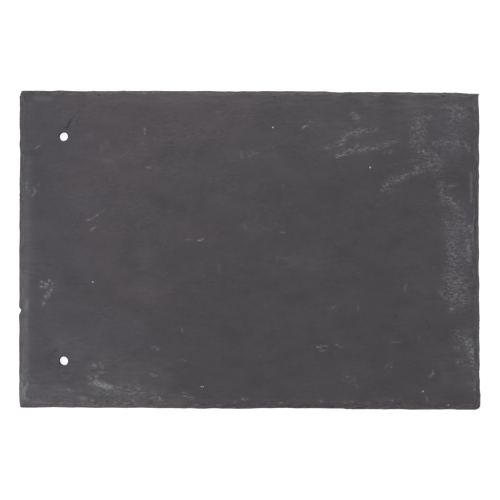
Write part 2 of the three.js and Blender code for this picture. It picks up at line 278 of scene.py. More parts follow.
STROKES: Mapping[Mark, Sequence[Stroke]] = {
    Mark.SLIDE: laid(
        # Scuffs that rise towards the tail, where other slates slid over this one.
        (59.5, 64, 70.5, 68, 1.5, 0.95),
        (65, 68, 73.5, 72, 1.1, 0.8),
        (74.5, 70, 87.5, 70.5, 1.5, 0.85),
        (75, 68.5, 76.5, 69, 1.3, 1),
        (88, 71.5, 102, 75, 2.1, 0.55),
        (92.5, 67.5, 96.5, 68, 1.4, 0.5),
        (58.5, 72.8, 61.5, 73.3, 1.4, 0.7),
        (61.5, 72.3, 65.5, 78.8, 1.9, 0.9),
        (69, 79.8, 74, 80.3, 1.7, 0.85),
        (74.5, 81.8, 86.5, 83.3, 1.8, 0.65),
        (70, 93.3, 73.5, 90.3, 1.9, 0.9),
        (90.5, 41, 98, 42, 1.3, 0.45),
        (92.5, 44, 97, 48.5, 1.9, 0.8),
        (97, 49, 104, 49.5, 1.9, 0.85),
        (105.5, 51.5, 113.5, 55.5, 1.8, 0.8),
        (113.5, 56.5, 124, 59.5, 1.9, 0.55),
        (112.5, 53, 119, 54.5, 1.4, 0.5),
        (110, 62, 115, 63, 1.3, 0.45),
        (49, 70, 53, 71, 1.7, 0.45),
        (-1.5, 65, 5, 67, 1.5, 0.5),
    ),
    Mark.RUB: laid(
        # The rubbed band along the tail.
        (117, 89, 116.5, 74, 3.6, 0.55),
        (111, 82, 111, 74.5, 2.4, 0.5),
        (111, 84, 112, 84, 1.3, 1),
        (117.5, 69, 119, 69, 1.3, 1),
        (122, 91, 123, 92, 1.4, 0.95),
        (115.5, 67.5, 120, 66.5, 1.3, 0.7),
        (122.5, 65.5, 129, 54, 4.5, 0.5),
        (126.5, 62, 131, 59, 2, 0.65),
        (131.5, 45, 133, 35.5, 2.8, 0.7),
        (136.5, 44.5, 141.5, 45, 1.3, 0.6),
        (136, 35, 142.5, 30.5, 2, 0.75),
        (134.5, 21.5, 135, 19, 2.1, 0.6),
        (138, 13, 139.5, -8, 4, 0.45),
        (141.5, 18, 151.5, 17, 1.7, 0.75),
        (152, 17, 152, 13.5, 1.3, 0.95),
        (149, 13, 151, -8, 3, 0.5),
        (137, -16, 147, -23, 5.5, 0.45),
        (142.5, -22.5, 145.5, -23, 1.5, 0.95),
        (134, -28.5, 147, -33.5, 4.6, 0.65),
        (138, -40, 139.5, -40.5, 1.8, 0.85),
        (143.7, -57.8, 151.2, -62.3, 4, 0.65),
        (141.2, -66.8, 142.7, -66.8, 1.7, 1),
        (150.7, -62.8, 153.7, -77.3, 2, 0.95),
        (142.7, -76.3, 145.7, -76.8, 1.9, 0.85),
        (153.2, -68.3, 154.2, -83.8, 1.3, 0.7),
        (154.5, -90.5, 154.5, -96.5, 1.3, 0.95),
        (144, 92, 147, 95, 1.7, 1),
        (139, 95.5, 139, 91, 1.3, 0.7),
        (132, 99.5, 146.5, 98, 1.3, 0.6),
        (125.5, 74, 142, 75.5, 1.6, 0.5),
        (147.5, 73.5, 150, 68.5, 1.6, 0.65),
        (127.5, 64, 130, 64.5, 1.8, 0.6),
        # Knocks at the head and along the near edge.
        (-142.5, -25.1, -136.5, -25.1, 3, 0.4),
        (-136.7, -27.5, -139.7, -32, 2, 0.45),
        (-139.7, -33, -141.7, -38, 1.5, 0.35),
        (-151, -86, -149, -104, 5, 0.15),
        (-145, -101, -118, -100, 4, 0.15),
        (-104.3, -93.7, -93.3, -96.2, 2.6, 0.35),
        (-106, -90, -92, -98, 6, 0.25),
        (-84, -96, -62, -101, 5, 0.3),
        (-103.5, -97, -97, -98, 1.9, 0.5),
        (-83.3, -93.5, -82.6, -101.5, 1.6, 0.55),
        (-77.5, -93.5, -74, -98, 1.6, 0.5),
        (-79, -99, -77, -102, 1.6, 0.4),
        (-44.8, -99.2, -38.7, -102.6, 1.4, 0.8),
        (-64.5, -101.2, -61, -102.7, 1.4, 0.7),
        (-5, -102.5, -2, -102.5, 1.3, 0.8),
        # Small rubs over the rest of the face.
        (-65.5, -67.5, -62.5, -69, 1.5, 0.75),
        (-67, -86.5, -64.5, -86.5, 1.1, 0.8),
        (65.8, -86, 71.3, -88.5, 2, 0.35),
        (66.8, -90, 74.8, -93.5, 2, 0.3),
        (55, -39.5, 59, -39.5, 1.6, 0.3),
        (-22, 94, -20, 91, 1.9, 0.3),
        # Soft cover under the band along the tail.
        (141, 92, 140, 72, 9, 0.25),
        (142, 30, 142, -34, 8, 0.3),
        (114, 90, 116, 62, 6, 0.2),
    ),
    Mark.LINE: laid(
        # Scratches that rise towards the tail.
        (35.4, 84.4, 37.4, 85, 0.55, 0.85),
        (37.6, 85.3, 39.6, 85.8, 0.6, 0.4),
        (40.6, 88, 43, 88.2, 0.6, 0.4),
        (-111.1, 19.9, -108.3, 21.3, 0.5, 0.8),
        (-108.3, 21.3, -104.3, 23.3, 0.45, 0.32),
        (-105.5, 22.9, -104.6, 23.3, 0.5, 0.5),
        (-103.7, 24.3, -100.4, 25.9, 0.5, 0.25),
        (-109.3, 13.3, -106.1, 14.6, 0.6, 0.5),
        (-148, 68.5, -144.5, 70.8, 0.6, 0.35),
        # Pale strips beside the tail.
        (149.5, 8, 150, -7, 0.9, 0.3),
        (151.5, 53, 152, 34, 1, 0.35),
        # Knocks at the head and along the near edge.
        (-141, -24.1, -138.5, -24.1, 0.65, 1),
        (-143.5, -22.6, -142.5, -22.6, 0.5, 0.8),
        (-143.5, -25.6, -142.5, -25.6, 0.6, 1),
        (-138, -20.6, -138, -22.1, 0.6, 0.9),
        (-140.5, -26.1, -139, -26.1, 0.5, 0.9),
        (-136, -27.6, -136, -29.6, 0.5, 0.75),
        (-137.7, -31, -137.7, -32, 0.8, 0.5),
        (-140.7, -32.5, -139.7, -32.5, 0.7, 0.6),
        (-142.2, -37, -141.2, -37.5, 0.6, 0.95),
        (-153.8, 45.4, -153.2, 40.4, 0.6, 0.6),
        (-145.9, 43.3, -144.4, 44.6, 0.6, 0.35),
        (-148.8, 42.5, -148.3, 40.5, 0.6, 0.35),
        (-152.1, 40.2, -151.6, 39.4, 0.6, 0.55),
        (-149.5, 36.4, -147.2, 39.8, 0.8, 0.4),
        (-153, -35.5, -153, -41.5, 1.2, 0.4),
        (-154, -49.5, -153.5, -57, 1.3, 0.2),
        (-152.1, -92.6, -154.6, -96.8, 0.8, 0.85),
        (-154.7, -96.8, -154.4, -102.9, 0.8, 1),
        (-152.9, -103.3, -151.9, -103.8, 1, 0.5),
        (-157, -92.3, -156.7, -102.3, 0.8, 0.65),
        (-156.3, -86.3, -156.3, -89.3, 0.8, 0.5),
        (-110.6, -92.5, -106.3, -92.5, 0.5, 0.75),
        (-105.8, -92.2, -102.3, -93.2, 1.1, 1),
        (-102.3, -93.2, -99.3, -93.7, 1.5, 1),
        (-99.3, -93.7, -95.8, -94.2, 1.4, 0.75),
        (-99.8, -95.2, -96.8, -97.2, 1, 0.5),
        (-94.8, -94.2, -93.8, -95.7, 0.9, 0.65),
        (-106.3, -90.7, -104.3, -90.7, 1, 0.55),
        (-110.8, -87.7, -108.8, -89.2, 0.8, 0.45),
        (-105.8, -87.7, -104.3, -87.7, 0.8, 0.5),
        (-107, -79.8, -105.6, -80, 0.9, 0.7),
        (-103.5, -77.9, -100.4, -80.4, 0.7, 0.7),
        (-103.2, -79.8, -100.3, -81.9, 0.6, 0.55),
        (-103.8, -84.5, -100.8, -84.5, 0.9, 0.3),
        (-124.4, -96.6, -121.4, -97.8, 0.6, 0.55),
        (-115.3, -102.2, -112, -102.5, 1.1, 0.5),
        (-148.4, -104.5, -143.9, -104.9, 0.8, 0.5),
        # Small scratches over the rest of the face.
        (-48.9, -76, -44.1, -76, 0.5, 0.4),
        (-46.2, -54.5, -46.2, -57, 0.6, 0.28),
        (-45, 6.9, -40, 6.9, 0.6, 0.2),
        (-35.4, 6.2, -34.2, 6.4, 0.5, 0.9),
        (-34, 6.7, -31.8, 7.3, 0.5, 0.65),
        (20.9, 12.1, 21.6, 12.1, 0.55, 0.85),
        (21.8, 12.1, 24, 12.1, 0.5, 0.45),
        (46.1, -66.4, 46.9, -66.6, 0.7, 0.5),
        (48.2, -67, 49.4, -67.2, 0.6, 0.65),
        (48, -69, 53.5, -69, 0.5, 0.35),
        (49, -65.6, 53.5, -65.9, 0.5, 0.3),
        (59.5, -64.9, 60.3, -64.9, 0.5, 0.45),
        (61.5, -66.4, 64, -66.5, 0.6, 0.5),
        (98.4, -62.8, 103, -62.8, 0.75, 0.22),
        (125.8, -82.2, 126, -84.6, 0.8, 0.3),
        (126, -84.8, 123.9, -86.4, 1.1, 0.3),
        (93.4, -80, 97.3, -76.7, 1, 0.12),
        (97.3, -79.9, 97.9, -80.3, 0.6, 0.3),
        (116.2, -58.6, 116.6, -60.6, 1, 0.12),
        (122, -100.5, 122, -103, 0.7, 0.3),
        (74.1, -41, 74.3, -38.5, 0.9, 0.18),
        (-72.7, 83, -72.7, 79, 0.5, 0.8),
        (-72, 56.2, -68.6, 56.2, 0.5, 0.42),
        # Bruises without a grain, and pale strips beside the head.
        (-109.5, 79, -109.5, 76, 1.6, 0.12),
        (-102.5, 70.5, -102.5, 67.5, 1.6, 0.14),
        (-99, 74, -98.5, 71.5, 1.6, 0.12),
        (-101, 60.5, -95, 60, 1.6, 0.12),
        (106.1, -26.9, 107.3, -23.3, 0.9, 0.22),
        (18.7, -4.8, 18.7, -8, 1.1, 0.13),
        (20.9, -5.6, 26.3, -5.6, 1.1, 0.09),
        (-6, 67.3, -6, 63, 1, 0.17),
        (-4.6, 17.3, -2.8, 14.8, 1, 0.15),
        (22.9, 44.6, 22.9, 42, 1, 0.12),
        (-153, 60, -154, -20, 2.6, 0.14),
        (-154, -20, -153.5, -90, 2.4, 0.25),
        (-148, 103.5, -138, 103, 1.6, 0.2),
    )
    + edge_chips(
        0.5,  # Pale chips of the near edge.
        (-107.5, -104, 0.75),
        (-89, -104, 1),
        (-79.5, -104, 0.7),
        (-78, -106, 0.8),
        (-85.5, -106.5, 0.75),
        (-35.5, -107, 0.9),
        (-9.5, -105, 0.8),
        (21, -105, 0.7),
        (49, -103.5, 0.75),
        (65.5, -104.5, 1),
        (70, -104, 1),
        (82.5, -105, 0.85),
        (98, -103, 0.75),
    ),
    Mark.DUST: laid(
        (-21, -11, -21, -13.5, 1.5, 0.5),
        (45.5, 88, 50, 86.5, 2.4, 0.6),
        (111.5, 94, 122.5, 94, 3.2, 0.8),
        (-126, -62, -119, -62, 1.6, 0.4),
        (60, 80, 118, 92, 16, 0.4),
        (140, 92, 140, 72, 12, 0.45),
        (142, 26, 141, -34, 10, 0.35),
        (-72, -5, -72, -30, 8, 0.3),
        (-100, -78, -60, -84, 10, 0.45),
        (-158.5, -91, -158.5, -104, 2.5, 0.9),
        (134, -74, 136, -88, 6, 0.4),
        (108, -8, 120, -36, 11, 0.25),
        (10, -8, 48, -10, 7, 0.3),
        (-128, -66, -110, -80, 8, 0.5),
        (150, -56, 152, -90, 8, 0.6),
        (-150, -98, -85, -98, 12, 0.9),
        (-85, -101, -50, -103, 6, 0.5),
        (-105, 104, 84, 104, 6, 0.6),
        (108, 103, 152, 102, 9, 0.8),
        (158, 5, 158, -103, 3, 0.25),
        (-153.5, 100, -153.5, -100, 5, 0.35),
    ),
    Mark.CRACK: laid(
        # Cracks and spalls where the holes were punched, and pits: grooved into the face and darkened with
        # painted shade.
        (-127.5, 83, -125.5, 84, 0.9, 0.9),
        (-125.5, 84, -123.5, 88, 0.8, 0.75),
        (-123.5, 88.5, -121, 90.5, 0.9, 0.45),
        (-119.5, 88, -119, 84.5, 0.8, 0.35),
        (-132.5, 90.5, -129.5, 89.5, 1.1, 0.3),
        (-132.5, -69.5, -134.5, -71.5, 1, 0.5),
        (-135.5, -72.5, -138.5, -76, 1.2, 0.3),
        (-138, -78, -134.5, -80, 1.2, 0.22),
        (-131.5, -81.5, -131, -87.5, 0.9, 0.3),
        (100, -45, 101, -46, 1.2, 0.6),
        (121.5, -48, 123, -53.5, 1, 0.3),
        (-55, 73.5, -54, 73, 1.3, 0.35),
    )
    # The dark chips of the near edge are painted shade, like the cracks.
    + edge_chips(
        0.8,  # Dark chips of the near edge.
        (-105.5, -105.5, 0.5),
        (-97, -105, 0.65),
        (-88.5, -106, 0.5),
        (-67.5, -104.5, 0.6),
        (-45, -107, 0.55),
        (54, -103.5, 0.5),
        (86.5, -104.5, 0.65),
        (103, -105, 0.6),
        (142, -105, 0.5),
    ),
    Mark.BLUE: laid(
        (-147, 95, -147, -95, 30, 1),
        (-118, 76, -112, 2, 16, 0.8),
        (-130, -48, -76, -60, 14, 0.7),
        (132, 90, 134, 70, 12, 1),
        (144, 16, 144, -12, 9, 0.9),
        (148, 36, 148, 27, 6, 0.8),
    ),
    Mark.RED: laid(
        (-98, 88, -18, 88, 18, 1),
        (-126, 101, 0, 101, 9, 0.9),
        (-98, 60, -78, 56, 17, 0.9),
        (-90, 44, -86, 14, 13, 0.5),
        (-122, 50, -112, 48, 10, 0.8),
        (-108, 12, -99, -8, 12, 0.8),
        (-45, 12, -30, 9, 9, 0.9),
        (-86, -28, -58, -28, 8, 0.8),
        (-79, -95, -78, -101, 5.5, 1),
        (-148, -104.6, 152, -104, 2.4, 1),
    ),
    # Broad darker patches: partly the stone's own tone, partly painted shade where the light falls off
    # across the slate.
    Mark.DEEP: laid(
        (-7, -62, 103, -50, 72, 1),
        (-150, 92, -146, 36, 16, 0.9),
        (-142, 38, -124, -12, 16, 0.7),
        (40, 40, 72, 2, 26, 0.5),
        (36, 26, 44, -18, 20, 0.6),
        (142, 56, 150, 34, 9, 0.7),
        (26, -108, 72, -108, 6, 0.8),
        (-152, 107, -141, 107, 3, 0.7),
    ),
}


# ---------------------------------------------------------------- the slab


class Edge(Enum):
    """The four dressed edges, by the name that each is painted under."""

    HEAD = "head"
    TAIL = "tail"
    NEAR = "near"
    FAR = "far"

    @property
    def outward(self) -> tuple[float, float]:
        """The way that the edge faces in plan."""
        ways = {"head": (-1.0, 0.0), "tail": (1.0, 0.0), "near": (0.0, -1.0), "far": (0.0, 1.0)}
        return ways[self.value]

    @property
    def seed(self) -> int:
        """What tells the breaks of this edge from those of the others."""
        return 40 + 2 * list(Edge).index(self)


def read_rows(parts: bpy.types.bpy_prop_collection, key: str) -> np.ndarray:
    """Reads one place or direction for each point or face of a mesh.

    Args:
        parts: The mesh's vertices or polygons.
        key: What is read of each: "co", "normal" or "center".

    Returns:
        One row of x, y, z for each, in metres where it is a place.
    """
    flat = np.empty(len(parts) * 3, np.float32)
    parts.foreach_get(key, flat)
    return flat.reshape(-1, 3).astype(float)


def select_only(piece: bpy.types.Object) -> None:
    """Deselects every object but one, and makes that the active one.

    Args:
        piece: The one that stays selected.
    """
    bpy.ops.object.select_all(action="DESELECT")
    piece.select_set(True)
    bpy.context.view_layer.objects.active = piece


def edit_faces(piece: bpy.types.Object, chosen: np.ndarray, shape: Callable[[], object]) -> None:
    """Runs edit-mode operators on some faces of a mesh.

    Args:
        piece: The mesh object.
        chosen: One truth value for each face.
        shape: Calls the operators.
    """
    select_only(piece)
    bpy.context.tool_settings.mesh_select_mode = (False, False, True)
    mesh = piece.data
    mesh.vertices.foreach_set("select", np.zeros(len(mesh.vertices), bool))
    mesh.edges.foreach_set("select", np.zeros(len(mesh.edges), bool))
    mesh.polygons.foreach_set("select", chosen)
    bpy.ops.object.mode_set(mode="EDIT")
    shape()
    bpy.ops.object.mode_set(mode="OBJECT")


@dataclass
class RivenSlab:
    """The slate: the frame's solid with the relief of split and broken stone.

    Attributes:
        node: The CAD node that it stands for.
        face_cell: Size of the grid on the face, in mm, like all that follow.
        bed_cell: Size of the grid on the bed.
        skin: How far inside the CAD's face and bed the grids lie.
        weld: Points of the face or the bed nearer than this are merged.
        edge_cuts: How many cuts go across each facet of a dressed edge.
        fine_reach: The face is cut finer where strokes with less reach than this run, and
            twice where a line or a crack does.
        fine_spreads: How far to either side the first and the second cut go, in reaches.
        fine_margin: How far past that.
        bore: How far from the middle of a nail hole its wall lies at most.
        bore_margin: How far past that the face is cut finer.
        swell: Height of the long waves of the face.
        ripple: Height of the short waves.
        leaf: Height of the steps where a leaf of stone ends on the face.
        scallop: How far the leaves of a dressed edge wander in and out.
        scallop_reach: How far from the side of the slate they do, at most.
        fray: How far their splinters stand out and in.
        bore_fray: The share of it inside the nail holes.
        splinters: The coarse and the fine splinters.
        nibble: How far the rim of the face is broken back in small chips.
        bites: Larger chips out of the edges, or swellings where the depth is below 0: X, Y,
            reach and depth of each.
        groove: Depth of the cracks by the holes.
        crease: Surfaces that meet at more than this angle keep a sharp edge, in degrees.
        strokes: The marks, by their kind.
        low: The corner of the node's box with the least X, Y and Z, read from the frame.
        high: The corner with the most.
        hole_centres: X and Y of the middle of each nail hole, from the frame.
        piece: The mesh object.
    """

    node: str = "slate"
    face_cell: float = 1.5
    bed_cell: float = 2.9
    skin: float = 0.001
    weld: float = 0.35
    edge_cuts: int = 2
    fine_reach: float = 1.6
    fine_spreads: tuple[float, float] = (1.4, 1.0)
    fine_margin: float = 0.5
    bore: float = 3.3
    bore_margin: float = 1.5
    swell: float = 0.08
    ripple: float = 0.035
    leaf: float = 0.04
    scallop: float = 0.7
    scallop_reach: float = 12.0
    fray: float = 0.2
    bore_fray: float = 0.35
    splinters: tuple[Fracture, Fracture] = (Fracture(17, 2.6, 0.55), Fracture(29, 1.1, 0.3))
    nibble: float = 0.4
    bites: Sequence[tuple[float, float, float, float]] = (
        (-159, -43.3, 1.6, 0.95),
        (-159, -39.3, 2.6, -0.25),
        (-159, -47.5, 3.5, -0.35),
        (-159, 39, 4.5, 0.35),
        (-158.6, -85.5, 5, -0.4),
        (-158.5, -101, 8, -0.6),
        (-159, -109, 1.5, 0.5),
        (159.5, -103, 4, -0.25),
        (-149, -109, 6, -0.4),
        (-30.5, -109, 3.5, -0.4),
        (-7.5, -109, 6, -0.25),
        (90.7, -109, 1.6, 0.4),
        (-28, 109, 6.5, -0.45),
        (-5, 109, 3.5, -0.3),
        (10.5, 109, 6, -0.4),
        (26, 109, 5.5, -0.45),
        (159.5, 48, 1.6, 0.6),
        (159.5, 14.5, 4, -0.25),
        (159.5, -51, 2, 0.5),
        (159.5, -71.5, 4, 0.25),
    )
    groove: float = 0.25
    crease: float = 24.0
    strokes: Mapping[Mark, Sequence[Stroke]] = field(default_factory=lambda: STROKES)
    low: np.ndarray = field(init=False)
    high: np.ndarray = field(init=False)
    hole_centres: list[tuple[float, float]] = field(init=False)
    piece: bpy.types.Object = field(init=False)

    def __post_init__(self) -> None:
        """Reads the box of the node and the places of its nail holes from the frame."""
        low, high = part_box(self.node)
        self.low = np.array(low) / MM
        self.high = np.array(high) / MM
        openings = frame["record"]["physics"]["openings"]
        self.hole_centres = [
            tuple(sum(corner[axis] for corner in opening["box_m"]) / 2 / MM for axis in (0, 1))
            for opening in openings
        ]

    def build(self) -> bpy.types.Object:
        """Makes the slab.

        Returns:
            The finished mesh object, with its marks painted on its points.
        """
        self._grid_block()
        self._trim()
        self._refine()
        self._crease_rims()
        self._paint_edges()
        self._break_edges()
        self._rive()
        self._finish()
        self._paint_marks()
        return self.piece

    def _grid_block(self) -> None:
        """Makes a block with a grid above and below, larger in plan and a skin thinner."""
        bpy.ops.object.select_all(action="DESELECT")
        bpy.ops.mesh.primitive_grid_add(size=1, location=(0, 0, 0))
        self.piece = bpy.context.object
        self.piece.name = "dressed_slate"
        bpy.ops.object.mode_set(mode="EDIT")
        bpy.ops.mesh.delete(type="VERT")
        self._add_grid(self.bed_cell, self.low[2] + self.skin)
        self._add_grid(self.face_cell, self.high[2] - self.skin)
        bpy.ops.mesh.select_mode(type="EDGE")
        bpy.ops.mesh.select_all(action="DESELECT")
        bpy.ops.mesh.select_non_manifold()
        bpy.ops.mesh.bridge_edge_loops()
        bpy.ops.mesh.select_all(action="SELECT")
        bpy.ops.mesh.normals_make_consistent(inside=False)
        bpy.ops.object.mode_set(mode="OBJECT")

    def _add_grid(self, cell: float, height: float) -> None:
        """Adds a level grid to the mesh that is being edited, past the slate on all sides.

        Args:
            cell: Size of its cells, in mm.
            height: How high it lies, in mm.
        """
        columns, rows = (int((self.high[axis] - self.low[axis]) / cell) + 4 for axis in (0, 1))
        bpy.ops.mesh.primitive_grid_add(
            x_subdivisions=columns, y_subdivisions=rows, size=1, location=(0, 0, height * MM)
        )
        bpy.ops.transform.resize(value=(columns * cell * MM, rows * cell * MM, 1))

    def _trim(self) -> None:
        """Cuts the block to the outline, the bevels and the holes of the CAD node."""
        outline = self._merged_copy()
        select_only(self.piece)
        cut = self.piece.modifiers.new("outline", "BOOLEAN")
        cut.operation = "INTERSECT"
        cut.solver = "MANIFOLD"
        cut.object = outline
        bpy.ops.object.modifier_apply(modifier=cut.name)
        bpy.data.objects.remove(outline)
        for level in (self.high[2], self.low[2]):
            flat = self._flat(level)
            edit_faces(self.piece, flat, lambda: bpy.ops.mesh.remove_doubles(threshold=self.weld * MM))
        log.info("trimmed to %d faces", len(self.piece.data.polygons))

    def _merged_copy(self) -> bpy.types.Object:
        """Copies the CAD node and joins its loose triangles.

        Returns:
            The copy.
        """
        source = frame["nodes"][self.node]
        outline = source.copy()
        outline.data = source.data.copy()
        outline.parent = None
        bpy.context.scene.collection.objects.link(outline)
        everything = np.ones(len(outline.data.polygons), bool)
        edit_faces(outline, everything, lambda: bpy.ops.mesh.remove_doubles(threshold=self.skin * MM))
        return outline

    def _refine(self) -> None:
        """Cuts the dressed edges finer, and the face where fine marks, cracks and holes are."""
        dressed = self._between(self._centres())
        edit_faces(self.piece, dressed, lambda: bpy.ops.mesh.subdivide(number_cuts=self.edge_cuts))
        thin = {
            mark: [stroke for stroke in strokes if stroke.reach < self.fine_reach]
            for mark, strokes in self.strokes.items()
        }
        passes = (list(thin), (Mark.CRACK, Mark.LINE))
        for marks, spread in zip(passes, self.fine_spreads):
            centres = self._centres()
            near = self._from_hole(centres) < self.bore + self.bore_margin
            for stroke in (stroke for mark in marks for stroke in thin[mark]):
                near |= stroke.away(centres[:, :2]) < spread * stroke.reach + self.fine_margin
            near &= self.high[2] - centres[:, 2] < 2 * self.skin
            edit_faces(self.piece, near, lambda: bpy.ops.mesh.subdivide(number_cuts=1))
        log.info("refined to %d faces", len(self.piece.data.polygons))

    def _crease_rims(self) -> None:
        """Marks the rims of the face, the bed and the holes, so that none is shaded round."""

        def crease() -> None:
            """Marks the border of the selected faces."""
            bpy.ops.mesh.region_to_loop()
            bpy.ops.mesh.mark_sharp()

        for level in (self.high[2], self.low[2]):
            edit_faces(self.piece, self._flat(level), crease)

    def _paint_edges(self) -> None:
        """Paints which points are on each dressed edge, and which in the nail holes."""
        points = self._points()
        bored = self._from_hole(points) < self.bore
        broken = self._between(points)
        insets = self._insets(points)
        nearest = np.minimum.reduce(list(insets.values()))
        for edge, inset in insets.items():
            self._store(edge.value, broken & ~bored & (inset == nearest))
        # The walls of the nail holes, which the finish darkens with painted shade.
        self._store("bored", broken & bored)

    def _break_edges(self) -> None:
        """Moves the leaves and the splinters of the dressed edges, and the holes', in and out."""
        points = self._points()
        share = self._share(points)
        outward = read_rows(self.piece.data.vertices, "normal")[:, :2]
        # What is nearly level moves less.
        outward /= np.maximum(np.linalg.norm(outward, axis=1, keepdims=True), 0.3)
        coarse, fine = (splinters.at(points) for splinters in self.splinters)
        # The rims of the bed and the face stay where they are.
        between = eased(share, 0.001, 0.01) * (1.0 - eased(share, 0.98, 0.999))
        inward = self.fray * (0.6 + 0.6 * (coarse + 0.6 * fine)) * between
        inward *= np.where(self._from_hole(points) < self.bore, self.bore_fray, 1.0)
        points[:, :2] += self._scallops(points, share) - inward[:, None] * outward
        self._move(points)

    def _scallops(self, points: np.ndarray, share: np.ndarray) -> np.ndarray:
        """Works out how far the edges wander.

        The leaves above the lip wander most, and small chips eat into the rims of face and bed.

        Args:
            points: One row of x, y, z in mm for each point.
            share: How far up each lies between the bed and the face.

        Returns:
            How far each point moves in X and Y, in mm.
        """
        plan = points * (1.0, 1.0, 0.0)
        chipped = 0.5 + 0.5 * RockNoise(31, 2.4, 2.4).at(plan) + 0.35 * RockNoise(33, 1.1, 1.1).at(plan)
        rims = eased(share, 0.7, 1.0) + 0.3 * (1.0 - eased(share, 0.0, 0.25))
        bitten = self.nibble * np.clip(chipped, 0.0, 1.0) ** 2 * rims
        for x, y, reach, depth in self.bites:
            away = np.linalg.norm(points[:, :2] - (x, y), axis=1)
            bitten += depth * np.exp(-((away / reach) ** 2))
        shift = np.zeros((len(points), 2))
        for edge, inset in self._insets(points).items():
            wander = RockNoise(edge.seed, 13, 13, 1.0).at(points)
            wander += 0.5 * RockNoise(edge.seed + 1, 5, 5, 0.8).at(points)
            move = self.scallop * wander * eased(share, 0.15, 0.4) - bitten
            held = 1.0 - eased(inset, 0.5 * self.scallop_reach, self.scallop_reach)
            shift += (move * held)[:, None] * edge.outward
        return shift

    def _rive(self) -> None:
        """Moves the face down and the bed up into the relief of split stone."""
        points = self._points()
        share = self._share(points)
        cracks = covered(self.strokes[Mark.CRACK], points) * (share > 0.9)
        drop = self._relief(points, 3) + self.groove * cracks
        rise = self._relief(points, 71)
        points[:, 2] += (1.0 - share) * rise - share * drop
        self._move(points)

    def _relief(self, points: np.ndarray, seed: int) -> np.ndarray:
        """Works out the relief of a riven surface.

        Args:
            points: One row of x, y, z in mm for each point.
            seed: Tells the face from the bed.

        Returns:
            How far the surface lies below its highest point at each, in mm.
        """
        plan = points * (1.0, 1.0, 0.0)
        waves = RockNoise(seed, 74, 41).at(plan) + 0.5 * RockNoise(seed + 1, 31, 15).at(plan)
        ripples = RockNoise(seed + 2, 13, 5.5).at(plan) + 0.6 * RockNoise(seed + 3, 5.5, 3.2).at(plan)
        climb = 2.2 * RockNoise(seed + 4, 88, 37).at(plan) + 0.7 * RockNoise(seed + 5, 21, 8).at(plan)
        step = np.floor(climb) + eased(climb - np.floor(climb), 0.86, 1.0)
        relief = self.swell * waves + self.ripple * ripples + self.leaf * step
        return relief - relief.min()

    def _finish(self) -> None:
        """Triangulates the slab and shades it smooth up to the angle of a broken edge."""
        select_only(self.piece)
        thirds = self.piece.modifiers.new("triangles", "TRIANGULATE")
        bpy.ops.object.modifier_apply(modifier=thirds.name)
        bpy.ops.object.shade_smooth_by_angle(angle=math.radians(self.crease))

    def _paint_marks(self) -> None:
        """Paints the marks, which stay above the bed, and how sharply the surface turns."""
        points = self._points()
        above_bed = eased(points[:, 2] - self.low[2], 0.3, 0.8)
        for mark, strokes in self.strokes.items():
            self._store(mark.value, covered(strokes, points) * above_bed)
        # The finish paints shade into the hollows and a highlight onto the ridges of the broken edges from
        # this.
        self._store("ridge", self._ridges(points))

    def _ridges(self, points: np.ndarray) -> np.ndarray:
        """Measures how sharply the surface turns.

        Args:
            points: One row of x, y, z in mm for each point of the mesh.

        Returns:
            One value for each point, above 0 on ridges and below 0 in hollows.
        """
        mesh = self.piece.data
        normals = read_rows(mesh.vertices, "normal")
        ends = np.empty(len(mesh.edges) * 2, np.int32)
        mesh.edges.foreach_get("vertices", ends)
        first, second = ends.reshape(-1, 2).T
        run = points[second] - points[first]
        turn = ((normals[second] - normals[first]) * run).sum(1) / np.maximum((run * run).sum(1), 1e-4)
        both = np.concatenate((first, second))
        count = np.maximum(np.bincount(both, minlength=len(points)), 1)
        total = np.bincount(both, np.concatenate((turn, turn)), len(points))
        return np.clip(total / count, -2.0, 2.0)

    def _points(self) -> np.ndarray:
        """Returns the place of every point of the mesh, in mm."""
        return read_rows(self.piece.data.vertices, "co") / MM

    def _centres(self) -> np.ndarray:
        """Returns the middle of every face of the mesh, in mm."""
        return read_rows(self.piece.data.polygons, "center") / MM

    def _share(self, points: np.ndarray) -> np.ndarray:
        """Returns how far up points lie, from 0 on the bed to 1 on the face."""
        return (points[:, 2] - self.low[2]) / (self.high[2] - self.low[2])

    def _flat(self, level: float) -> np.ndarray:
        """Returns which faces of the mesh lie at a level, before they are riven."""
        return np.abs(self._centres()[:, 2] - level) < 2 * self.skin

    def _between(self, points: np.ndarray) -> np.ndarray:
        """Returns which points lie neither on the face nor on the bed, before they are riven."""
        rise, drop = points[:, 2] - self.low[2], self.high[2] - points[:, 2]
        return (rise > 2 * self.skin) & (drop > 2 * self.skin)

    def _from_hole(self, points: np.ndarray) -> np.ndarray:
        """Returns how far each point is from the middle of the nearest nail hole, in plan."""
        away = [np.linalg.norm(points[:, :2] - centre, axis=1) for centre in self.hole_centres]
        return np.minimum.reduce(away)

    def _insets(self, points: np.ndarray) -> dict[Edge, np.ndarray]:
        """Measures how far points are from each side of the slate's box.

        Args:
            points: One row of x, y, z in mm for each point.

        Returns:
            The distance of each point, in mm, by edge.
        """
        return {
            Edge.HEAD: points[:, 0] - self.low[0],
            Edge.TAIL: self.high[0] - points[:, 0],
            Edge.NEAR: points[:, 1] - self.low[1],
            Edge.FAR: self.high[1] - points[:, 1],
        }

    def _move(self, points: np.ndarray) -> None:
        """Moves the points of the mesh, held inside the box of the node.

        Args:
            points: Their new places, in mm.
        """
        inside = np.clip(points, self.low, self.high) * MM
        self.piece.data.vertices.foreach_set("co", inside.astype(np.float32).ravel())
        self.piece.data.update()

    def _store(self, name: str, values: np.ndarray) -> None:
        """Keeps one value for each point under a name that the finish reads."""
        attribute = self.piece.data.attributes.new(name, "FLOAT", "POINT")
        attribute.data.foreach_set("value", values.astype(np.float32))


# ---------------------------------------------------------------- node trees


